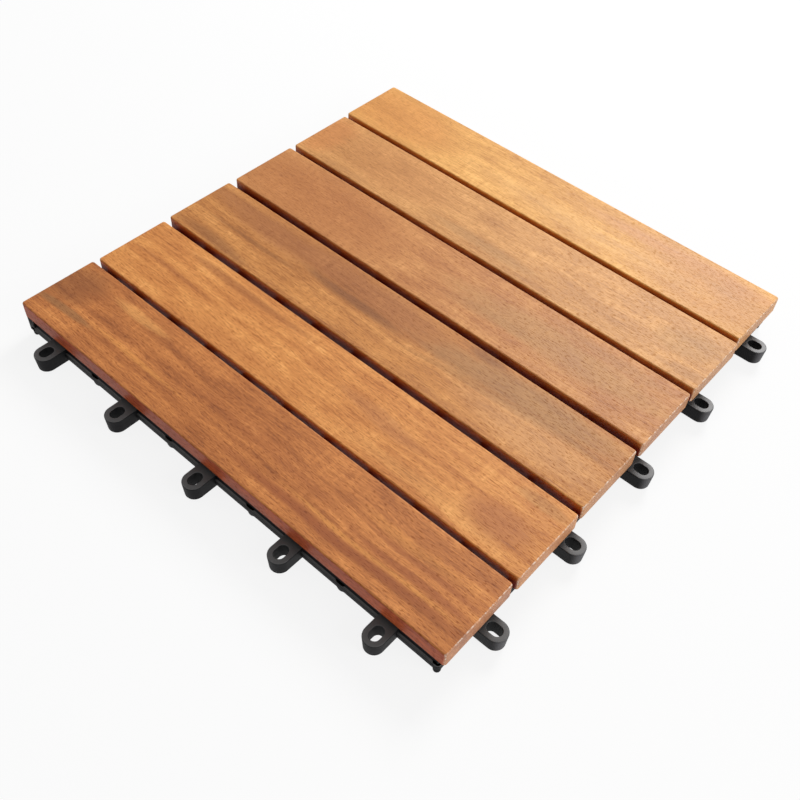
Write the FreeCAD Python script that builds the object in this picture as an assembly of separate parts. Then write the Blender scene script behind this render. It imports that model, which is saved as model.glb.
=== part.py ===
import FreeCAD, Part
import math
import os

# Interlocking deck tile: six hardwood slats screwed from below to one moulded plastic base.
# Millimetres. +Z is up and the slats run along X. The origin is where the two middle ribs cross,
# on the plane of the feet. The loops stand out of the +X and -Y sides, and the pegs that drop
# into a neighbour's loops hang under the -X and +Y sides, which end short of the next tile.

# Sizes of the tile
tile_pitch = 300.0
tile_gap = 0.3
base_gap = 3.0
ribs_per_tile = 10

# Sizes of the slats
slat_count = 6
slat_gap = 3.9
slat_thickness = 10.0
slat_corner_round = 1.6
slat_top_arris = 0.8
slats_off_centre_x = 3.1
slats_off_centre_y = -0.6
slat_shifts_along = [-0.1, 0.5, -0.2, 0.1, 0.3, -0.7]
slat_shifts_across = [0.0, -0.7, -0.1, 0.8, 0.6, 0.1]

# Sizes of the moulded base
base_height = 14.0
base_corner_round = 2.0
rim_wall = 2.0
rim_lift = 3.8
flange_height = 3.4
flange_reach = 1.6
bearing_rib_wall = 2.2
tie_rib_wall = 1.6

# Sizes of the feet
foot_radius = 4.0
foot_shoulder_radius = 3.4
foot_tip_radius = 2.4
foot_shoulder_height = 1.2
corner_foot_radius = 2.3
corner_foot_tip_radius = 1.8
corner_post_width = 5.0
crossing_foot_radius = 3.0
centre_foot_radius = 5.5

# Sizes of the loops and of the pegs that go into them
loops_per_side = 5
loop_length = 14.0
loop_width = 11.6
loop_wall = 3.0
loop_top = 10.0
loop_clear_of_ground = 0.7
loop_taper = 0.6
peg_radius = 2.2
peg_shoulder_radius = 1.9
peg_tip_radius = 1.4
peg_tip_length = 2.0
peg_clear_of_ground = 1.2
pocket_clearance = 1.2
pocket_roof_gap = 0.5
pocket_wall = 1.6

# Sizes of the screws and of the bosses that take them
screw_radius = 1.7
screw_head_radius = 3.4
screw_head_height = 2.2
screw_head_edge = 0.9
screw_length = 18.0
screw_point = 2.6
boss_radius = 4.2
boss_hole_clearance = 0.3
pilot_clearance = 0.05
pilot_extra_depth = 0.4

# Flats that stand for the small repeated rounds
sides_of_posts = 10
sides_of_bosses = 8
sides_of_shanks = 6
sides_of_crossing_feet = 4
flats_per_corner = 4

# Sizes and places that follow
rib_pitch = tile_pitch / ribs_per_tile
loop_pitch = 2.0 * rib_pitch
slat_length = tile_pitch
slat_width = (tile_pitch - tile_gap + slat_gap) / slat_count - slat_gap
loops_side = tile_pitch / 2.0
pegs_side = loops_side - base_gap
rim_inset = flange_reach + rim_wall
slat_bottom = base_height
boss_bottom = rim_lift
pegs_from_centre = tile_pitch - loops_side - loop_length / 2.0
pocket_end = tile_pitch - loops_side - loop_length - pocket_clearance
pocket_half_width = loop_width / 2.0 + pocket_clearance
pocket_ceiling = loop_top + pocket_roof_gap
last_rib = int((pegs_side - rim_inset - bearing_rib_wall) // rib_pitch)
slat_steps = [(i - (slat_count - 1) / 2.0) * (slat_width + slat_gap) for i in range(slat_count)]
slat_centres = [slats_off_centre_y + step + shift for step, shift in zip(slat_steps, slat_shifts_across)]
loop_centres = [(i - (loops_per_side - 1) / 2.0) * loop_pitch for i in range(loops_per_side)]
foot_lines = [(i - loops_per_side / 2.0) * loop_pitch for i in range(1, loops_per_side)]


def vec(x, y, z=0.0):
    return FreeCAD.Vector(x, y, z)


def block(x0, x1, y0, y1, z0, z1):
    """A box between two values on each axis."""
    return Part.makeBox(x1 - x0, y1 - y0, z1 - z0, vec(x0, y0, z0))


def stack(rings):
    """A solid with flat sides through outlines of as many points, given as (height, points) from the lowest up."""
    loops = [[vec(x, y, z) for x, y in points] for z, points in rings]
    faces = [Part.Face(Part.makePolygon(loop + loop[:1])) for loop in (loops[0], loops[-1])]
    for low, high in zip(loops, loops[1:]):
        for k in range(len(low)):
            n = (k + 1) % len(low)
            faces.append(Part.Face(Part.makePolygon([low[k], low[n], high[n], high[k], low[k]])))
    return Part.Solid(Part.Shell(faces))


def round_outline(x0, x1, y0, y1, radius):
    """The outline of a rectangle with round corners, or of a slot where the radius is half its width."""
    points = []
    for cx, cy, start in ((x1, y1, 0), (x0, y1, 90), (x0, y0, 180), (x1, y0, 270)):
        cx += radius if cx == x0 else -radius
        cy += radius if cy == y0 else -radius
        for k in range(flats_per_corner + 1):
            turn = math.radians(start + 90.0 * k / flats_per_corner)
            point = (cx + radius * math.cos(turn), cy + radius * math.sin(turn))
            if not points or math.dist(point, points[-1]) > 0.001:
                points.append(point)
    return points[:-1] if math.dist(points[0], points[-1]) < 0.001 else points


def many_sided(sides, x, y, rings):
    """A post with flat sides about a vertical axis; rings are its (height, radius to the flats) from the lowest up."""
    outlines = []
    for z, flat_radius in rings:
        r = flat_radius / math.cos(math.pi / sides)
        turns = [math.pi * (2 * k + 1) / sides for k in range(sides)]
        outlines.append((z, [(x + r * math.cos(t), y + r * math.sin(t)) for t in turns]))
    return stack(outlines)


def joined(shapes):
    """One solid made of many that touch."""
    return shapes[0].multiFuse(shapes[1:]).removeSplitter()


def to_side(shape, side, along):
    """Carry a shape built at the +X side to a side of the base, moved along that side."""
    moved = shape.copy()
    moved.translate(vec(0, along, 0))
    moved.rotate(vec(0, 0, 0), vec(0, 0, 1), {"+X": 0, "+Y": 90, "-X": 180, "-Y": 270}[side])
    return moved


# Base

def base_outline(inset, radius):
    """The outline of the base drawn in by some distance."""
    near = loops_side - inset
    far = pegs_side - inset
    return round_outline(-far, near, -near, far, radius)


def rim():
    """The wall round the base, with the flange that stands out along its lower edge."""
    wall = base_outline(flange_reach, base_corner_round / 2.0)
    flange = base_outline(0, base_corner_round)
    near = loops_side - rim_inset
    far = pegs_side - rim_inset
    made = joined([stack([(rim_lift, wall), (base_height, wall)]),
                   stack([(rim_lift, flange), (rim_lift + flange_height, flange)])])
    return made.cut(block(-far, near, -near, far, 0, base_height))


def ribs():
    """Ribs both ways under the slats, thick ones through the feet and thin ones through the loops."""
    made = []
    near = loops_side - rim_inset + rim_wall / 2.0
    far = pegs_side - rim_inset + rim_wall / 2.0
    for i in range(-last_rib, last_rib + 1):
        at = i * rib_pitch
        t = (bearing_rib_wall if i % 2 else tie_rib_wall) / 2.0
        made.append(block(-far, near, at - t, at + t, rim_lift, base_height))
        made.append(block(at - t, at + t, -near, far, rim_lift, base_height))
    return made


def foot(x, y):
    """A round foot that narrows to a small flat tip, rising inside the base."""
    rings = [(0, foot_tip_radius), (foot_shoulder_height, foot_shoulder_radius), (rim_lift, foot_radius),
             (rim_lift + flange_height, foot_radius)]
    return many_sided(sides_of_posts, x, y, rings)


def feet():
    """Round feet between the loops, stubs at the corners, small feet where ribs cross, and one in the middle."""
    near = loops_side - foot_radius
    far = pegs_side - foot_radius
    made = [many_sided(sides_of_posts, 0, 0, [(0, foot_radius), (rim_lift + flange_height, centre_foot_radius)])]
    stub = [(0, corner_foot_tip_radius), (rim_lift + flange_height, corner_foot_radius)]
    for x in (corner_foot_radius - pegs_side, loops_side - corner_foot_radius):
        for y in (corner_foot_radius - loops_side, pegs_side - corner_foot_radius):
            made.append(many_sided(sides_of_posts, x, y, stub))
    for along in foot_lines:
        made += [foot(along, -near), foot(along, far), foot(-far, along), foot(near, along)]
        for across in foot_lines:
            rings = [(0, foot_tip_radius), (rim_lift + flange_height, crossing_foot_radius)]
            made.append(many_sided(sides_of_crossing_feet, along, across, rings))
    return made


def corner_posts():
    """Square posts that carry the slats at the two corners between a side of loops and a side of pockets."""
    w = corner_post_width
    return [block(-pegs_side, w - pegs_side, -loops_side, w - loops_side, rim_lift, base_height),
            block(loops_side - w, loops_side, pegs_side - w, pegs_side, rim_lift, base_height)]


def loop():
    """One loop at the +X side: a tongue with a round end that narrows a little downward."""
    outlines = []
    for z, draw_in in ((loop_clear_of_ground, loop_taper), (loop_top, 0.0)):
        r = loop_width / 2.0 - draw_in
        middle = loops_side + loop_length - loop_width / 2.0
        turns = [math.pi * (k / (2.0 * flats_per_corner) - 0.5) for k in range(2 * flats_per_corner + 1)]
        end = [(middle + r * math.cos(t), r * math.sin(t)) for t in turns]
        outlines.append((z, [(loops_side - rim_inset, -r)] + end + [(loops_side - rim_inset, r)]))
    return stack(outlines)


def loop_slot():
    """The slot through one loop."""
    r = loop_width / 2.0 - loop_wall
    outline = round_outline(loops_side + loop_wall, loops_side + loop_length - loop_wall, -r, r, r)
    return stack([(0, outline), (base_height, outline)])


def pocket_walls():
    """The roof and walls round one pocket at the +X side, where a neighbour's loop comes in."""
    w = pocket_half_width + pocket_wall
    return block(pocket_end - pocket_wall, pegs_side, -w, w, rim_lift, base_height)


def pocket_space():
    """The room that a neighbour's loop needs in one pocket."""
    return block(pocket_end, tile_pitch / 2.0, -pocket_half_width, pocket_half_width, 0, pocket_ceiling)


def peg():
    """The peg under one pocket's roof, a round pin with a narrowed tip."""
    z0 = peg_clear_of_ground
    z1 = z0 + peg_tip_length
    tip = many_sided(sides_of_posts, pegs_from_centre, 0, [(z0, peg_tip_radius), (z1, peg_shoulder_radius)])
    pin = Part.makeCylinder(peg_radius, pocket_ceiling + pocket_wall - z1, vec(pegs_from_centre, 0, z1))
    return joined([tip, pin])


def screw_places(slat_centre):
    """Where one slat's screws stand: one near each end, on the ribs through the outermost loops."""
    return [(loop_centres[0], slat_centre), (loop_centres[-1], slat_centre)]


def base_grid():
    """The moulded base in one piece."""
    bodies = [rim()] + ribs() + feet() + corner_posts()
    spaces = []
    for along in loop_centres:
        for side in ("+X", "-Y"):
            bodies.append(to_side(loop(), side, along))
        for side in ("-X", "+Y"):
            bodies.append(to_side(pocket_walls(), side, along))
            spaces.append(to_side(pocket_space(), side, along))
    holes = []
    hole = screw_radius + boss_hole_clearance
    for centre in slat_centres:
        for x, y in screw_places(centre):
            bodies.append(many_sided(sides_of_bosses, x, y, [(boss_bottom, boss_radius), (base_height, boss_radius)]))
            holes.append(many_sided(sides_of_shanks, x, y, [(0, hole), (base_height, hole)]))
    made = joined(bodies).cut(Part.makeCompound(spaces))
    slots = [to_side(loop_slot(), side, along) for side in ("+X", "-Y") for along in loop_centres]
    made = made.cut(Part.makeCompound(slots + holes))
    pegs = [to_side(peg(), side, along) for side in ("-X", "+Y") for along in loop_centres]
    return joined([made] + pegs)


# Slats

def slat(along, centre):
    """One slat with eased edges and a pilot hole over each screw."""
    x1 = slat_length / 2.0
    y1 = slat_width / 2.0
    a = slat_top_arris
    sides = round_outline(-x1, x1, -y1, y1, slat_corner_round)
    top = round_outline(a - x1, x1 - a, a - y1, y1 - a, slat_corner_round - a)
    z1 = slat_bottom + slat_thickness
    board = stack([(slat_bottom, sides), (z1 - a, sides), (z1, top)])
    board.translate(vec(slats_off_centre_x + along, centre))
    depth = boss_bottom + screw_length + pilot_extra_depth
    r = screw_radius + pilot_clearance
    holes = [many_sided(sides_of_shanks, x, y, [(boss_bottom, r), (depth, r)]) for x, y in screw_places(centre)]
    return board.cut(Part.makeCompound(holes))


# Screws

def screw(x, y):
    """One screw, point up, its head seated under a boss."""
    z0 = boss_bottom - screw_head_height
    z1 = boss_bottom + screw_length
    thin = screw_radius * math.cos(math.pi / sides_of_shanks)
    head = many_sided(sides_of_bosses, x, y, [
        (z0, screw_head_radius - screw_head_edge), (z0 + screw_head_edge, screw_head_radius),
        (boss_bottom, screw_head_radius)])
    shank = many_sided(sides_of_shanks, x, y, [
        (boss_bottom - screw_head_edge, thin), (z1 - screw_point, thin), (z1, thin / 4.0)])
    return joined([head, shank])


def slat_screws():
    """All the screws, each a solid of its own."""
    return Part.makeCompound([screw(x, y) for centre in slat_centres for x, y in screw_places(centre)])


def main():
    os.makedirs("parts", exist_ok=True)
    nodes = {"base_grid": base_grid(), "slat_screws": slat_screws()}
    for i, (along, centre) in enumerate(zip(slat_shifts_along, slat_centres)):
        nodes["slat_%d" % (i + 1)] = slat(along, centre)
    for name, shape in nodes.items():
        print(name, "valid" if shape.isValid() else "NOT VALID", len(shape.Solids), "solid(s)")
        shape.exportStep("parts/%s.step" % name)


main()
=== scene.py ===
import bmesh
import bpy
import math
from mathutils import Matrix, Vector

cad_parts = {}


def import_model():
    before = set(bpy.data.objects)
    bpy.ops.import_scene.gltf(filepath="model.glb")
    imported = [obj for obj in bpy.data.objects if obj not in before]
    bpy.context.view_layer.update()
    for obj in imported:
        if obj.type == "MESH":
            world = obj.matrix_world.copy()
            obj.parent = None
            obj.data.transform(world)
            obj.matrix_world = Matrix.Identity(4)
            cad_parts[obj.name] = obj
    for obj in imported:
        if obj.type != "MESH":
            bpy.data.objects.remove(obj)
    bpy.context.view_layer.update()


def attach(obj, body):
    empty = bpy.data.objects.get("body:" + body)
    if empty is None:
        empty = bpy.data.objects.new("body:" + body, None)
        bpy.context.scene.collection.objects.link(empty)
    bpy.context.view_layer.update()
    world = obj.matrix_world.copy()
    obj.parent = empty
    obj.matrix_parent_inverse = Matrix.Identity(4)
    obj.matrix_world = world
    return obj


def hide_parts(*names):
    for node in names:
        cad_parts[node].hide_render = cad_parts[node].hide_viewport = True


# Interlocking deck tile: six oiled hardwood slats on a black moulded base.
# Lengths below are in millimetres in the row frame, and become metres when a mesh is made.
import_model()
mm = 0.001

# Sizes shared with the solids
loops_side, pegs_side = 150.0, 147.0
# Sides are numbered anticlockwise, and corner n lies between side n and the next
right_side, back_side, left_side, front_side = range(4)
reaches = (loops_side, pegs_side, pegs_side, loops_side)
rim_lift, flange_top, base_top = 3.8, 7.2, 14.0
flange_reach, rim_wall, corner_round = 1.6, 2.0, 2.0
rim_inset = flange_reach + rim_wall
edge_round, edge_cut = 0.3, 0.09
flange_round, flange_cut = 0.45, 0.13
corner_post, corner_post_round = 5.0, 0.6
rib_pitch, ribs_each_way = 30.0, 4
thin_rib, thick_rib, rib_edge, rib_bite = 0.8, 1.1, 0.25, 0.5
loop_places = (-120.0, -60.0, 0.0, 60.0, 120.0)
loop_length, loop_half_width, loop_wall = 14.0, 5.8, 3.0
loop_low, loop_high, loop_taper = 0.7, 10.0, 0.6
loop_root_gap = 0.2
pocket_end, pocket_half_width, pocket_wall, pocket_ceiling = 134.8, 7.0, 1.6, 10.5
pocket_edge = 0.2
peg_from_centre, peg_radius, peg_root = 143.0, 2.2, 1.0
foot_lines = (-90.0, -30.0, 30.0, 90.0)
foot_inset, stub_inset = 4.0, 2.3
cross_foot_round = 0.5
boss_radius, boss_hole = 4.3, 2.05
slat_half_length, slat_half_width, slat_top = 150.0, 23.35, 24.0
slat_ease, slat_corner, slat_inner_corner = 0.9, 1.6, 0.5
slat_places = [(3.0, -127.1), (3.6, -77.2), (2.9, -26.0), (3.2, 25.5), (3.4, 75.9), (2.4, 126.0)]
screw_x = (-120.0, 120.0)
screw_head, screw_length, head_radius, shank_radius = 2.2, 18.0, 3.4, 1.25
thread_pitch, thread_turns, thread_rise, thread_half = 1.3, 10, 0.4, 0.4
thread_start, thread_root = 2.0, 1.1


# Meshes

class Shells:
    """Closed shells collected into one mesh."""

    def __init__(self):
        self.points = []
        self.faces = []

    def loft(self, rings, around=False):
        """A skin through rings of as many points; closed on itself, or with a face at each end."""
        start = len(self.points)
        count = len(rings[0])
        for ring in rings:
            self.points += ring
        last = len(rings)
        for i in range(last if around else last - 1):
            a = start + i * count
            b = start + ((i + 1) % last) * count
            for k in range(count):
                n = (k + 1) % count
                self.faces.append((a + k, a + n, b + n, b + k))
        if not around:
            self.faces.append(tuple(range(start + count - 1, start - 1, -1)))
            self.faces.append(tuple(range(start + (last - 1) * count, start + last * count)))

    def box(self, x0, x1, y0, y1, z0, z1, low_edge=0.0):
        """A block whose lower long edges may be eased."""
        e = low_edge
        rings = []
        for z, d in ((z0, e), (z0 + e, 0.0), (z1, 0.0)):
            if not rings or z > rings[-1][0][2]:
                rings.append([(x0 + d, y0 + d, z), (x1 - d, y0 + d, z),
                              (x1 - d, y1 - d, z), (x0 + d, y1 - d, z)])
        self.loft(rings)

    def turned(self, x, y, profile, steps=32, around=False):
        """A shape turned about a vertical axis from (radius, height) pairs."""
        turns = [2 * math.pi * k / steps for k in range(steps)]
        rings = [[(x + r * math.cos(t), y + r * math.sin(t), z) for t in turns] for r, z in profile]
        self.loft(rings, around)

    def mesh(self, name):
        """The collected shells as a mesh in metres."""
        data = bpy.data.meshes.new(name)
        data.from_pydata([Vector(p) * mm for p in self.points], [], self.faces)
        tidy(data)
        return data


def tidy(data):
    """Merge points that coincide, drop empty faces and turn all faces outward."""
    nearly_nothing = 1e-6
    work = bmesh.new()
    work.from_mesh(data)
    bmesh.ops.remove_doubles(work, verts=work.verts, dist=nearly_nothing)
    bmesh.ops.dissolve_degenerate(work, edges=work.edges, dist=nearly_nothing)
    bmesh.ops.recalc_face_normals(work, faces=work.faces)
    work.to_mesh(data)
    work.free()


def outline(x0, x1, y0, y1, radius, steps=8):
    """A rectangle with round corners as points, or a slot's outline where the radius is half its width."""
    points = []
    for cx, cy, start in ((x1 - radius, y1 - radius, 0), (x0 + radius, y1 - radius, 90),
                          (x0 + radius, y0 + radius, 180), (x1 - radius, y0 + radius, 270)):
        for k in range(steps + 1):
            t = math.radians(start + 90.0 * k / steps)
            points.append((cx + radius * math.cos(t), cy + radius * math.sin(t)))
    return points


def raised(points, z):
    return [(x, y, z) for x, y in points]


def quarter_turned(x, y, turns):
    """A point carried round the middle by quarter turns, anticlockwise."""
    c, s = ((1, 0), (0, 1), (-1, 0), (0, -1))[turns]
    return x * c - y * s, x * s + y * c


def turned_to(points, side, along):
    """Carry points made at the right side to another side of the base, moved along that side."""
    return [(*quarter_turned(x, y + along, side), z) for x, y, z in points]


def piece(name, data, material, stands_for, slot, body="root"):
    """A mesh as an object that rides on the part and stands for solids of it."""
    thing = bpy.data.objects.new(name, data)
    bpy.context.scene.collection.objects.link(thing)
    data.materials.append(material)
    data.polygons.foreach_set("use_smooth", [True] * len(data.polygons))
    even = thing.modifiers.new("even_normals", "WEIGHTED_NORMAL")
    even.weight = 100
    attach(thing, body)
    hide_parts(*stands_for)


# Base

def corner_station(corner, turn, d):
    """A point of one of the base's round corners, d inside the outline. turn runs from 0 to a quarter turn."""
    x = reaches[corner] - max(d, corner_round)
    y = reaches[(corner + 1) % 4] - max(d, corner_round)
    if d < corner_round:
        x += (corner_round - d) * math.cos(turn)
        y += (corner_round - d) * math.sin(turn)
    return quarter_turned(x, y, corner)


def side_station(side, along, d):
    """A point of one side, d inside the outline; along runs anticlockwise."""
    return quarter_turned(reaches[side] - d, along, side)


def corner_stations(corners):
    """Stations, 15 degrees apart, round some of the corners."""
    return [lambda d, q=corner, t=math.radians(15.0 * k): corner_station(q, t, d)
            for corner in corners for k in range(7)]


def side_stations(side, places):
    return [lambda d, t=along: side_station(side, t, d) for along in places]


def sweep(shells, path, profile, around=False):
    """A skin whose cross-section, as (distance inside the outline, height) pairs, follows the stations."""
    rings = []
    for station in path:
        rings.append([(*station(d), z) for d, z in profile])
    shells.loft(rings, around)


def base_shells():
    """The moulded base: rim with its flange, ribs, feet, bosses, loops, and pegs in their pockets."""
    s = Shells()
    rim(s)
    ribs(s)
    for at in loop_places:
        for side in (right_side, front_side):
            loop(s, side, at)
        for side in (left_side, back_side):
            pocket(s, side, at)
    feet(s)
    bosses(s)
    return s


def rim(s):
    """The wall round the base, whole above the pockets, and its flanged lower part, open at the pockets."""
    outside, inside, split = flange_reach, rim_inset, pocket_ceiling
    upper = [(outside, split), (outside, base_top - edge_round), (outside + edge_cut, base_top - edge_cut),
             (outside + edge_round, base_top), (inside, base_top), (inside, split)]
    lower = [(edge_round, rim_lift), (edge_cut, rim_lift + edge_cut), (0, rim_lift + edge_round),
             (0, flange_top - flange_round), (flange_cut, flange_top - flange_cut), (flange_round, flange_top),
             (outside, flange_top), (outside, split), (inside, split), (inside, rim_lift)]
    sweep(s, corner_stations(range(4)), upper, True)
    edge = loop_places[-1] + pocket_half_width
    # One stretch goes round the sides with loops, and one round the corner between the sides with pockets
    for start, corners, end in ((left_side, (2, 3, 0), back_side), (back_side, (1,), left_side)):
        sweep(s, side_stations(start, [edge]) + corner_stations(corners) + side_stations(end, [-edge]), lower)
    for side in (back_side, left_side):
        for a, b in zip(loop_places, loop_places[1:]):
            sweep(s, side_stations(side, (a + pocket_half_width, b - pocket_half_width)), lower)


def ribs(s):
    """Ribs both ways. Those in line with the pockets are thinner and end at them."""
    near = loops_side - rim_inset + rib_bite
    far = pegs_side - rim_inset + rib_bite
    to_pocket = pocket_end - rib_bite
    for k in range(-ribs_each_way, ribs_each_way + 1):
        at = rib_pitch * k
        in_line = k % 2 == 0
        t = thin_rib if in_line else thick_rib
        reach = to_pocket if in_line else far
        s.box(-reach, near, at - t, at + t, rim_lift, base_top, rib_edge)
        s.box(at - t, at + t, -near, reach, rim_lift, base_top, rib_edge)


def bosses(s):
    """A tube for each screw."""
    r, h, e = boss_radius, boss_hole, edge_round
    profile = [(h, rim_lift), (r - e, rim_lift), (r, rim_lift + e), (r, base_top), (h, base_top)]
    for _, y in slat_places:
        for x in screw_x:
            s.turned(x, y, profile, 28, True)


def loop(s, side, at):
    """One loop: a tongue with a round end that narrows a little downward, and the slot through it."""
    x0, x1, r, wall = loops_side, loops_side + loop_length, loop_half_width, loop_wall
    steps = 8

    def outer(d, z):
        """The tongue drawn in by d; its inner end is square, inside the rim."""
        middle, radius, inside = x1 - r, r - d, x0 - rim_inset + loop_root_gap
        points = []
        for k in range(2 * steps + 1):
            t = math.radians(90.0 * k / steps - 90.0)
            points.append((middle + radius * math.cos(t), radius * math.sin(t)))
        for k in range(2 * steps + 1):
            points.append((inside, radius * (1 - k / steps)))
        return turned_to(raised(points, z), side, at)

    def inner(d, z):
        """The slot made wider by d, with a point for each of the tongue's."""
        reach, middle = r - wall + d, (x0 + wall + r - wall, x1 - r)
        points = []
        for centre, first in ((middle[1], -90.0), (middle[0], 90.0)):
            for k in range(2 * steps + 1):
                t = math.radians(90.0 * k / steps + first)
                points.append((centre + reach * math.cos(t), reach * math.sin(t)))
        return turned_to(raised(points, z), side, at)

    def taper(z):
        return loop_taper * (loop_high - z) / (loop_high - loop_low)

    low, top = loop_low, loop_high
    # Out from the slot's lower edge, up the side, over the rounded top and down the slot
    s.loft([inner(0.25, low), outer(taper(low) + 0.35, low), outer(taper(low) + 0.1, low + 0.1),
            outer(taper(low), low + 0.35), outer(taper(top - 0.6), top - 0.6), outer(0.10, top - 0.3),
            outer(0.26, top - 0.1), outer(0.55, top), inner(0.35, top), inner(0.1, top - 0.1),
            inner(0, top - 0.35), inner(0, low + 0.3)], True)


def pocket(s, side, at):
    """One pocket under the rim with its peg, where a neighbour's loop comes in."""
    a, b, w, t = pocket_end - pocket_wall, pegs_side, pocket_half_width, pocket_wall
    peg = [(1.2, 1.2), (1.42, 1.3), (1.55, 1.5), (2.0, 3.1), (peg_radius, 3.4),
           (peg_radius, pocket_ceiling + peg_root)]
    made = Shells()
    made.box(a, b, w, w + t, rim_lift, pocket_ceiling, pocket_edge)
    made.box(a, b, -w - t, -w, rim_lift, pocket_ceiling, pocket_edge)
    made.box(a, pocket_end, -w, w, rim_lift, pocket_ceiling, pocket_edge)
    made.box(a, b, -w - t, w + t, pocket_ceiling, base_top)
    made.turned(peg_from_centre, 0, peg, 28)
    start = len(s.points)
    s.points += turned_to(made.points, side, at)
    s.faces += [tuple(k + start for k in face) for face in made.faces]


def feet(s):
    """Round feet along the rim and in the middle, stubs at the corners, and small square ones where ribs cross."""
    round_foot = [(2.2, 0.0), (2.55, 0.06), (3.05, 0.5), (3.45, 1.2), (3.75, 2.4), (3.95, rim_lift),
                  (4.0, flange_top)]
    stub = [(1.4, 0.0), (1.75, 0.15), (1.9, 0.7), (2.3, flange_top)]
    middle_foot = [(3.8, 0.0), (4.1, 0.15), (5.5, flange_top)]
    cross_foot = [(2.2, 0.0), (2.4, 0.2), (3.0, flange_top)]
    near, far = loops_side - foot_inset, pegs_side - foot_inset
    for a in foot_lines:
        for x, y in ((a, -near), (a, far), (-far, a), (near, a)):
            s.turned(x, y, round_foot)
    for x in (stub_inset - pegs_side, loops_side - stub_inset):
        for y in (stub_inset - loops_side, pegs_side - stub_inset):
            s.turned(x, y, stub, 20)
    w = corner_post
    for x, y in ((-pegs_side, -loops_side), (loops_side - w, pegs_side - w)):
        points = outline(x, x + w, y, y + w, corner_post_round, 3)
        s.loft([raised(points, rim_lift), raised(points, base_top)])
    s.turned(0, 0, middle_foot)
    for x in foot_lines:
        for y in foot_lines:
            s.loft([raised(outline(x - h, x + h, y - h, y + h, cross_foot_round, 3), z) for h, z in cross_foot])


# Slats and screws

def slat_shells(index):
    """One slat with round upright corners, an eased top edge and a lightly broken bottom edge."""
    s = Shells()
    cx, cy = slat_places[index]
    hx, hy = slat_half_length, slat_half_width
    z0, z1, a, r = base_top, slat_top, slat_ease, slat_corner
    rings = [(0.35, z0), (0.1, z0 + 0.1), (0.0, z0 + 0.35)]
    for k in range(6):
        t = math.radians(90.0 * k / 5)
        rings.append((a - a * math.cos(t), z1 - a + a * math.sin(t)))
    sections = []
    for d, z in rings:
        sections.append(raised(outline(cx - hx + d, cx + hx - d, cy - hy + d, cy + hy - d,
                                       max(r - d, slat_inner_corner), 6), z))
    s.loft(sections)
    return s


def cross_points(arm, width):
    """The outline of a cross, as the points of four like quarters."""
    quarter = [(arm, -width), (arm, 0), (arm, width), ((arm + width) / 2, width), (width, width),
               (width, (arm + width) / 2)]
    return [quarter_turned(x, y, k) for k in range(4) for x, y in quarter]


def screw_shells(s, x, y):
    """One screw, point up, with a cross recess under its head and a thread along its shank."""
    seat = rim_lift
    low = seat - screw_head
    tip = seat + screw_length
    count = 24
    turns = [2 * math.pi * (k - 1) / count for k in range(count)]

    def circle(radius, z):
        return [(x + radius * math.cos(t), y + radius * math.sin(t), z) for t in turns]

    def cross(arm, width, z):
        return [(x + a, y + b, z) for a, b in cross_points(arm, width)]

    s.loft([cross(0.9, 0.3, low + 1.3), cross(1.75, 0.45, low), circle(2.5, low), circle(3.0, low + 0.25),
            circle(3.32, low + 0.8), circle(head_radius, low + 1.3), circle(head_radius, seat),
            circle(shank_radius, seat + 0.02), circle(shank_radius, tip - 2.6), circle(0.3, tip)])
    steps = 12
    last = thread_turns * steps
    rings = []
    for k in range(last + 1):
        t = 2 * math.pi * k / steps
        z = seat + thread_start + thread_pitch * k / steps
        ease = min(1.0, k / steps, max(0.0, (last - k) / steps))
        crest = shank_radius + thread_rise * ease
        ring = []
        for radius, dz in ((thread_root, -thread_half), (crest, 0.0), (thread_root, thread_half)):
            ring.append((x + radius * math.cos(t), y + radius * math.sin(t), z + dz))
        rings.append(ring)
    s.loft(rings)


# Shader maths

class Value:
    """A node's output that takes part in sums; each operator adds one Math node."""

    def __init__(self, finish, socket):
        self.finish = finish
        self.socket = socket

    def maths(self, operation, *others):
        return self.finish.node("Math", {"operation": operation}, dict(enumerate((self, *others))))

    def __add__(self, other):
        return self.maths("ADD", other)

    def __sub__(self, other):
        return self.maths("SUBTRACT", other)

    def __mul__(self, other):
        return self.maths("MULTIPLY", other)

    def __truediv__(self, other):
        return self.maths("DIVIDE", other)

    __radd__ = __add__
    __rmul__ = __mul__

    def __rsub__(self, other):
        return self.finish.node("Math", {"operation": "SUBTRACT"}, {0: other, 1: self})

    def size(self):
        return self.maths("ABSOLUTE")

    def between(self, low, high):
        """0 below low, 1 above high, and a smooth step between them."""
        return self.finish.node("MapRange", {"interpolation_type": "SMOOTHSTEP"},
                                {"Value": self, "From Min": low, "From Max": high})


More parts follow.
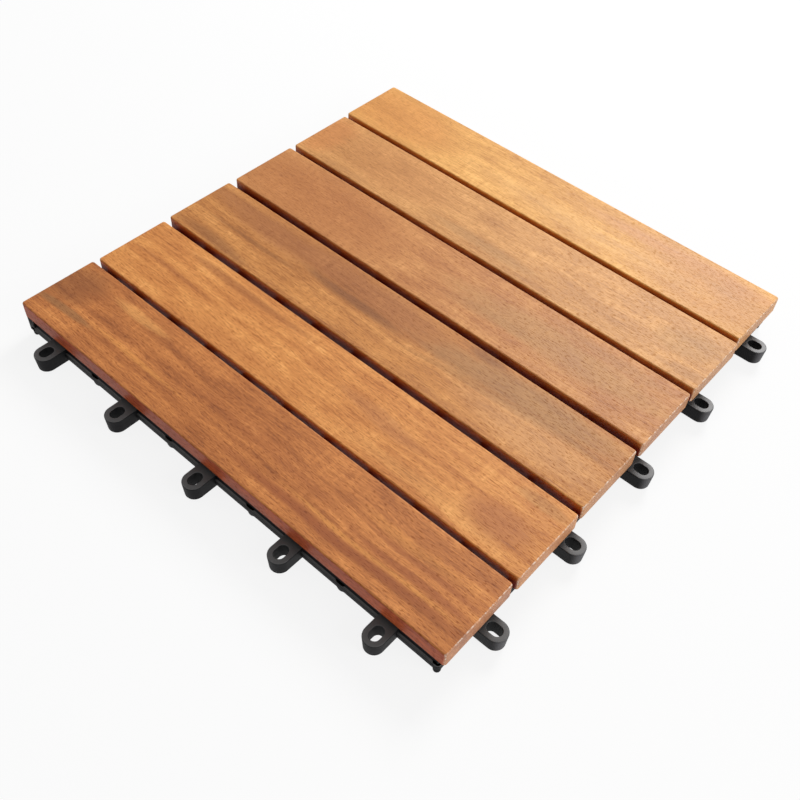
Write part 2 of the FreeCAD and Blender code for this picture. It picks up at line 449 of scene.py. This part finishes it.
class Finish:
    """A material, with one method that adds any node."""

    def __init__(self, name):
        self.material = bpy.data.materials.new(name)
        self.material.use_nodes = True
        self.tree = self.material.node_tree
        self.tree.nodes.clear()

    def node(self, kind, settings=None, values=None, out=0):
        made = self.tree.nodes.new("ShaderNode" + kind)
        for key, value in (settings or {}).items():
            if key == "stops":
                ramp = made.color_ramp
                while len(ramp.elements) < len(value):
                    ramp.elements.new(0.5)
                for stop, (at, colour) in zip(ramp.elements, value):
                    stop.position = at
                    stop.color = (*colour, 1)
            else:
                setattr(made, key, value)
        for key, value in (values or {}).items():
            if isinstance(value, Value):
                self.tree.links.new(value.socket, made.inputs[key])
            else:
                made.inputs[key].default_value = value
        return Value(self, made.outputs[out])

    def axis(self, vector, number):
        """One of a vector's three numbers: 0, 1 or 2 for x, y or z."""
        return self.node("SeparateXYZ", None, {0: vector}, number)

    def facing(self):
        """The face's direction, with bumps left out."""
        return self.node("NewGeometry", None, None, "Normal")

    def mix(self, share, first, second, how="MIX"):
        """One colour over another; inputs are picked by place because three pairs share their names."""
        colours = {6: first if isinstance(first, Value) else (*first, 1),
                   7: second if isinstance(second, Value) else (*second, 1), 0: share}
        return self.node("Mix", {"data_type": "RGBA", "blend_type": how}, colours, 2)

    def place(self):
        """The point on the object in millimetres."""
        point = self.node("TexCoord", None, None, "Object")
        return self.node("VectorMath", {"operation": "SCALE"}, {0: point, "Scale": 1.0 / mm})

    def stretched(self, vector, sizes, shift=(0, 0, 0)):
        """The vector shifted, then measured in steps of the given sizes."""
        steps = tuple(1.0 / v for v in sizes)
        return self.node("VectorMath", {"operation": "MULTIPLY_ADD"},
                         {0: vector, 1: steps, 2: tuple(a * b for a, b in zip(shift, steps))})

    def noise(self, vector, detail=2.0, rough=0.5, warp=0.0):
        return self.node("TexNoise", None, {"Vector": vector, "Scale": 1.0, "Detail": detail,
                                            "Roughness": rough, "Distortion": warp})

    def bump(self, height, depth):
        """Relief of the given depth in metres."""
        return self.node("Bump", None, {"Height": height, "Distance": depth, "Strength": 1.0})

    def done(self, values):
        """The finished material, a Principled surface with these values."""
        shader = self.node("BsdfPrincipled", None, values)
        end = self.tree.nodes.new("ShaderNodeOutputMaterial")
        self.tree.links.new(shader.socket, end.inputs[0])
        return self.material


def srgb(r, g, b):
    """A colour as seen, 0 to 255, as linear light."""
    made = []
    for v in (r, g, b):
        v /= 255.0
        made.append(v / 12.92 if v <= 0.04045 else ((v + 0.055) / 1.055) ** 2.4)
    return tuple(made)


def wood(index, tones, streaks, areas):
    """Oiled acacia. tones run from dark grain to light, and streaks is how strongly long bands show.

    areas are soft patches of another colour, measured from the slat's middle, each
    (x, y, half length, half width, rise, colour, strength).
    """
    f = Finish("oiled_acacia_%d" % (index + 1))
    shift = (-slat_places[index][0], -slat_places[index][1], -base_top)
    seed = 37.0 * (index + 1)
    grain_wander, pore_strength, fleck_strength = 10.0, 0.52 - 0.05 * index, 0.42
    p = f.node("VectorMath", {"operation": "ADD"}, {0: f.place(), 1: shift})
    wander = f.noise(f.stretched(p, (80, 30, 26), (seed, 0, 0)), 1.0)
    x, y, z = f.axis(p, 0), f.axis(p, 1), f.axis(p, 2)
    bent = y + (wander - 0.5) * grain_wander
    grain = f.node("CombineXYZ", None, {0: x, 1: bent, 2: z})
    # Long bands, soft clouds, fibres, fine mottle, and ripples across the grain in some places
    broad = f.noise(f.stretched(grain, (160, 4.6, 9), (seed * 3, seed, 0)), 3.0, 0.55)
    cloud = f.noise(f.stretched(p, (34, 12, 12), (seed * 2, 3, seed)), 3.0, 0.55)
    fibre = f.noise(f.stretched(grain, (15, 0.55, 1.2), (seed, seed * 2, 5)), 3.0, 0.65)
    mottle = f.noise(f.stretched(p, (4.5, 0.9, 2.0), (seed, 9, 0)), 3.0, 0.7, 0.4)
    ripple = f.noise(f.stretched(p, (3.0, 12, 8), (seed, 9, 4)), 1.0, 0.5, 0.7)
    ripple_area = cloud.between(0.48, 0.62)
    level = (broad - 0.5) * streaks + (cloud - 0.5) * 0.6 + (fibre - 0.5) * 0.6 + (mottle - 0.5) * 0.5
    level = level + (ripple - 0.5) * ripple_area * 0.35 + 0.5
    colour = f.node("ValToRGB", {"stops": tones}, {0: level})
    # Patches with ragged edges, over which the grain still shows
    edge = (fibre - 0.5) * 0.9 + (cloud - 0.5) * 1.4 + (mottle - 0.5) * 0.6
    shade = (level - 0.5) * 0.9 + 1.0
    for ax, ay, length, width, rise, tint, strength in areas:
        dx = (x - ax) / length
        dy = (bent - (x - ax) * rise - ay) / width
        near = 1.0 - (dx * dx + dy * dy) + edge
        colour = f.mix(near.between(-0.1, 1.0) * strength, colour, tint)
    light = f.node("CombineColor", None, {0: shade, 1: shade, 2: shade})
    colour = f.mix(0.5, colour, light, "MULTIPLY")
    # Dark pores and longer flecks
    specks = f.noise(f.stretched(grain, (3.0, 0.50, 0.5), (seed * 5, 1, 2)), 1.0, 0.4).between(0.57, 0.68)
    flecks = f.noise(f.stretched(grain, (6.0, 0.42, 0.5), (seed, 4, 2)), 1.0, 0.4).between(0.60, 0.74)
    colour = f.mix(specks * pore_strength, colour, (0.42, 0.24, 0.13), "MULTIPLY")
    colour = f.mix(flecks * fleck_strength, colour, (0.46, 0.27, 0.15), "MULTIPLY")
    # The cut ends, and the sides in the gaps and the outer side of the first slat, which get painted shade below
    face = f.facing()
    onward, across = f.axis(face, 0), f.axis(face, 1)
    end = onward.size().between(0.55, 0.9)
    front = (0.0 - across).between(0.75, 0.97)
    back = across.between(0.75, 0.97)
    shaded_gap_sides = front * float(index > 0) + back * float(index < len(slat_places) - 1)
    outer = front * float(index == 0)
    rays = f.noise(f.stretched(p, (3, 0.8, 0.25), (seed, 2, 7)), 2.0, 0.6).between(0.4, 0.7)
    colour = f.mix(end * 0.3, colour, srgb(224, 180, 154))
    colour = f.mix(end * rays * 0.3, colour, (0.62, 0.42, 0.34), "MULTIPLY")
    # Painted glints along the top edge of the cut ends that face +X, and painted shade on the outer side of the
    # first slat and deep in the gaps
    glint_breaks = f.noise(f.stretched(p, (2.0, 1.7, 2.0), (seed, 6, 2)), 2.0, 0.6).between(0.44, 0.66)
    painted_glint_edge = onward.between(0.15, 0.40) - onward.between(0.75, 0.95)
    # Painted highlight: a broken near-white glint line on the top edge of the cut ends facing +X
    colour = f.mix(painted_glint_edge * (glint_breaks * 0.6 + 0.15), colour, srgb(248, 232, 216))
    # Painted shade: the outer side of the first slat, facing away from the key lamp, is darkened and reddened
    colour = f.mix(outer, colour, (0.84, 0.42, 0.31), "MULTIPLY")
    # Painted shade: the sides in the gaps are darkened and reddened, and darkest towards their bottom
    colour = f.mix(shaded_gap_sides, colour, (1.0, 0.72, 0.42), "MULTIPLY")
    colour = f.mix(shaded_gap_sides * (1.0 - z.between(4.5, 9.8)), colour, (0.32, 0.07, 0.03), "MULTIPLY")
    height = fibre * 0.5 + mottle * 0.3 - specks * 0.7 - flecks * 0.4
    normal = f.bump(height, 0.06 * mm)
    rough = 0.48 + specks * 0.2 + (cloud - 0.5) * 0.12
    return f.done({"Base Color": colour, "Roughness": rough, "Normal": normal, "Specular IOR Level": 0.25})


def black_plastic():
    """Dull black moulded plastic: fine grain, flow marks, greyer rubbed patches, a coat shine and painted sheen on
    what faces up, and painted highlights on the loop ends.
    """
    f = Finish("black_moulded_plastic")
    p = f.place()
    grain = f.noise(f.stretched(p, (0.35, 0.35, 0.35)), 2.0, 0.6)
    flow = f.noise(f.stretched(p, (22, 22, 7)), 2.0, 0.5, 0.8)
    rubbed = f.noise(f.stretched(p, (5, 5, 3), (4, 9, 2)), 3.0, 0.6).between(0.55, 0.75)
    face = f.facing()
    up = f.axis(face, 2).between(0.4, 0.95)
    colour = f.mix(flow.between(0.35, 0.65), srgb(16, 16, 18), srgb(25, 25, 27))
    colour = f.mix(rubbed * 0.3, colour, srgb(42, 41, 42))
    # Painted sheen: what faces up is lightened towards grey in place of the key lamp's reflection; the coat gives
    # a real shine too
    colour = f.mix(up * 0.7, colour, srgb(80, 79, 79))
    # Painted highlight: the ends of the loops on the +X side, where they face +X, are lightened towards grey
    onward = f.axis(face, 0).between(0.2, 0.95)
    tip = f.axis(p, 0).between(loops_side + 6.0, loops_side + loop_length - 1.0)
    colour = f.mix(tip * onward * 0.6, colour, srgb(112, 111, 114))
    rough = 0.5 + grain * 0.16 + rubbed * 0.08
    return f.done({"Base Color": colour, "Roughness": rough, "Normal": f.bump(grain + flow * 0.6, 0.04 * mm),
                   "Specular IOR Level": 0.12, "Coat Weight": up, "Coat Roughness": 0.47})


def zinc():
    """Bright zinc plating with faint turning marks and duller spots."""
    f = Finish("zinc_plated_steel")
    p = f.place()
    marks = f.noise(f.stretched(p, (3, 3, 0.12)), 2.0, 0.6)
    dull = f.noise(f.stretched(p, (1.6, 1.6, 1.6), (3, 3, 3)), 3.0, 0.6)
    colour = f.mix(dull.between(0.4, 0.65), srgb(196, 195, 190), srgb(160, 158, 150))
    return f.done({"Base Color": colour, "Metallic": 1.0, "Roughness": 0.28 + dull * 0.2,
                   "Normal": f.bump(marks, 0.03 * mm)})


def white_floor():
    """A white floor with a faint shadow: a plain face, mostly lifted to white for the camera and reflections."""
    grey, lift = 0.86, 0.86
    f = Finish("white_floor")
    ray = f.node("LightPath", None, None, "Is Camera Ray")
    glossy = f.node("LightPath", None, None, "Is Glossy Ray")
    through = f.node("LightPath", None, None, "Is Transmission Ray")
    seen = (ray + glossy + through).between(0.0, 1.0)
    plain = f.node("BsdfDiffuse", None, {"Color": (grey, grey, grey, 1)})
    glow = f.node("Emission", None, {"Color": (1, 1, 1, 1), "Strength": 1.0})
    shader = f.node("MixShader", None, {0: seen * lift, 1: plain, 2: glow})
    end = f.tree.nodes.new("ShaderNodeOutputMaterial")
    f.tree.links.new(shader.socket, end.inputs[0])
    return f.material


def tones(*colours):
    """The stops of a slat's colour ramp, from its darkest grain to its lightest."""
    return [(at, srgb(*colour)) for at, colour in zip((0.14, 0.38, 0.60, 0.84), colours)]


red_brown = srgb(150, 82, 46)
deep_brown = srgb(116, 68, 40)
mauve_brown = srgb(168, 104, 64)
grey_brown = srgb(150, 106, 66)
olive_tan = srgb(182, 134, 84)
golden = srgb(216, 146, 76)
pale_gold = srgb(224, 160, 92)

slat_looks = [
    (tones((132, 72, 38), (176, 106, 56), (198, 126, 68), (218, 148, 84)), 0.65, [
        (-75, -8, 46, 2.0, 0.0, golden, 0.55),
        (10, 1, 72, 5.0, -0.02, red_brown, 0.30),
        (75, -12.5, 88, 3.4, 0.0, red_brown, 0.8),
        (118, 3.5, 40, 2.2, -0.02, red_brown, 0.6),
        (116, -4, 42, 2.6, -0.02, red_brown, 0.7),
        (92, -8.3, 60, 1.5, -0.01, golden, 0.7),
        (108, 9, 40, 4.0, 0.0, golden, 0.45),
        (-95, 13.5, 27, 4.2, 0.0, pale_gold, 0.6),
        (-140, 5, 22, 19, 0.2, deep_brown, 0.5),
        (-132, -12, 27, 3.2, 0.05, grey_brown, 0.7)]),
    (tones((160, 92, 46), (202, 128, 66), (220, 150, 82), (236, 172, 102)), 0.5, [
        (-68, 16, 54, 4.2, 0.0, srgb(158, 94, 50), 0.6),
        (-112, -2, 42, 1.8, 0.0, red_brown, 0.45),
        (-42, -14, 36, 5, 0.0, srgb(184, 112, 58), 0.4),
        (45, 3, 36, 6, -0.04, mauve_brown, 0.45),
        (125, -5, 23, 12, 0.0, srgb(170, 102, 60), 0.65),
        (135, 16, 18, 4, 0.0, grey_brown, 0.4),
        (85, -14, 60, 6, 0.0, pale_gold, 0.35)]),
    (tones((142, 86, 46), (186, 120, 62), (206, 142, 78), (226, 164, 98)), 0.5, [
        (-60, 12, 128, 14, 0.0, srgb(150, 90, 54), 0.66),
        (-96, -4, 44, 2.0, 0.02, deep_brown, 0.4),
        (-26, 2, 48, 4.2, 0.01, deep_brown, 0.7),
        (88, 12, 76, 11, 0.05, srgb(166, 122, 78), 0.7),
        (90, 2.5, 74, 3.6, 0.07, srgb(140, 98, 60), 0.42),
        (57, 19.7, 16, 4, 0.0, deep_brown, 0.55),
        (-118, -18, 38, 4.6, 0.0, deep_brown, 0.5),
        (20, -12, 130, 6, 0.02, srgb(206, 138, 72), 0.4),
        (105, -6, 60, 12, 0.0, srgb(224, 168, 112), 0.4)]),
    (tones((160, 98, 54), (188, 122, 68), (204, 142, 84), (220, 162, 104)), 0.3, [
        (-100, 0, 76, 30, 0.0, srgb(176, 110, 60), 0.65),
        (75, 2, 85, 14, 0.0, olive_tan, 0.6),
        (105, 16, 50, 5, 0.0, srgb(170, 118, 74), 0.5),
        (35, -6, 40, 5, 0.06, grey_brown, 0.3)]),
    (tones((164, 104, 56), (196, 136, 76), (214, 156, 94), (230, 174, 112)), 0.35, [
        (-142, 2, 18, 24, 0.0, srgb(196, 122, 64), 0.6),
        (-92, 4, 60, 24, 0.0, srgb(188, 126, 72), 0.5),
        (-2, -12, 50, 5, 0.0, olive_tan, 0.6),
        (-110, -18, 30, 3, 0.0, srgb(170, 116, 68), 0.4),
        (132, 4, 24, 13, 0.2, olive_tan, 0.55),
        (140, -16, 20, 5, 0.1, srgb(172, 120, 76), 0.45)]),
    (tones((184, 120, 56), (210, 148, 76), (228, 170, 94), (240, 186, 112)), 0.35, [
        (-122, 0, 60, 28, 0.0, srgb(202, 132, 66), 0.65),
        (85, 13, 76, 8, 0.0, srgb(206, 146, 100), 0.7),
        (128, 8, 13, 9, 0.0, srgb(184, 126, 86), 0.5),
        (118, -3, 62, 25, 0.0, srgb(200, 140, 84), 0.75),
        (30, -6, 100, 9, 0.0, srgb(238, 184, 114), 0.4)]),
    ]


# Dressing the part

piece("base_moulding", base_shells().mesh("base_moulding"), black_plastic(), ["base_grid"], "base_plastic")
screws = Shells()
for _, row in slat_places:
    for column in screw_x:
        screw_shells(screws, column, row)
piece("screws", screws.mesh("screws"), zinc(), ["slat_screws"], "screw_steel")
for index, look in enumerate(slat_looks):
    number = index + 1
    board = slat_shells(index).mesh("board_%d" % number)
    piece("board_%d" % number, board, wood(index, *look), ["slat_%d" % number], "wood_%d" % number)


# Floor, light and camera

def floor():
    """A wide floor just under the feet; lengths in metres."""
    reach, drop = 6.0, 0.0002
    data = bpy.data.meshes.new("floor")
    corners = [(-reach, -reach, 0), (reach, -reach, 0), (reach, reach, 0), (-reach, reach, 0)]
    data.from_pydata(corners, [], [(0, 1, 2, 3)])
    data.materials.append(white_floor())
    ground = bpy.data.objects.new("floor", data)
    bpy.context.scene.collection.objects.link(ground)
    ground.location.z = -drop


def lamp(name, place, power, width=0.8):
    """A round soft lamp that points at the middle of the part; lengths in metres."""
    data = bpy.data.lights.new(name, "AREA")
    data.shape = "DISK"
    data.size = width
    data.energy = power
    made = bpy.data.objects.new(name, data)
    bpy.context.scene.collection.objects.link(made)
    made.location = place
    made.rotation_euler = (-Vector(place)).to_track_quat("-Z", "Y").to_euler()


def camera():
    """The photograph's viewpoint, solved from the corners of the square of slats."""
    picture, focal_length, middle_x, middle_y = 800.0, 990.3, 422.0, 378.0
    azimuth, elevation, roll = math.radians(-52.80), math.radians(48.65), math.radians(5.13)
    target, distance = Vector((44.268, -40.945, slat_top)), 514.0
    level = math.cos(elevation)
    out = Vector((level * math.cos(azimuth), level * math.sin(azimuth), math.sin(elevation)))
    right = (-out).cross(Vector((0, 0, 1))).normalized()
    up = right.cross(-out)
    right, up = right * math.cos(roll) + up * math.sin(roll), up * math.cos(roll) - right * math.sin(roll)
    data = bpy.data.cameras.new("camera")
    data.sensor_width = 36.0
    data.lens = focal_length * data.sensor_width / picture
    data.shift_x = (picture / 2 - middle_x) / picture
    data.shift_y = (middle_y - picture / 2) / picture
    data.clip_start = 0.01
    made = bpy.data.objects.new("camera", data)
    bpy.context.scene.collection.objects.link(made)
    turn = Matrix((right, up, out)).transposed().to_4x4()
    turn.translation = (target + out * distance) * mm
    made.matrix_world = turn
    bpy.context.scene.camera = made


def world():
    """Plain white studio air: even light, and white where the camera or a reflection looks past the floor."""
    room_light, white = 0.33, 1.0
    made = bpy.data.worlds.new("studio")
    bpy.context.scene.world = made
    made.use_nodes = True
    nodes = made.node_tree.nodes
    plain = nodes["Background"]
    bright = nodes.new("ShaderNodeBackground")
    for air, strength in ((plain, room_light), (bright, white)):
        air.inputs["Color"].default_value = (1, 1, 1, 1)
        air.inputs["Strength"].default_value = strength
    path = nodes.new("ShaderNodeLightPath")
    both = nodes.new("ShaderNodeMixShader")
    links = made.node_tree.links
    seen = path.outputs["Is Camera Ray"]
    for ray in ("Is Glossy Ray", "Is Transmission Ray"):
        either = nodes.new("ShaderNodeMath")
        either.operation = "MAXIMUM"
        links.new(seen, either.inputs[0])
        links.new(path.outputs[ray], either.inputs[1])
        seen = either.outputs[0]
    links.new(seen, both.inputs[0])
    links.new(plain.outputs[0], both.inputs[1])
    links.new(bright.outputs[0], both.inputs[2])
    links.new(both.outputs[0], nodes["World Output"].inputs[0])


floor()
lamp("key", (-0.20, 1.32, 1.10), 27.0)
lamp("fill", (1.40, 0.10, 0.80), 7.0)
camera()
world()
bpy.context.scene.view_settings.view_transform = "Standard"
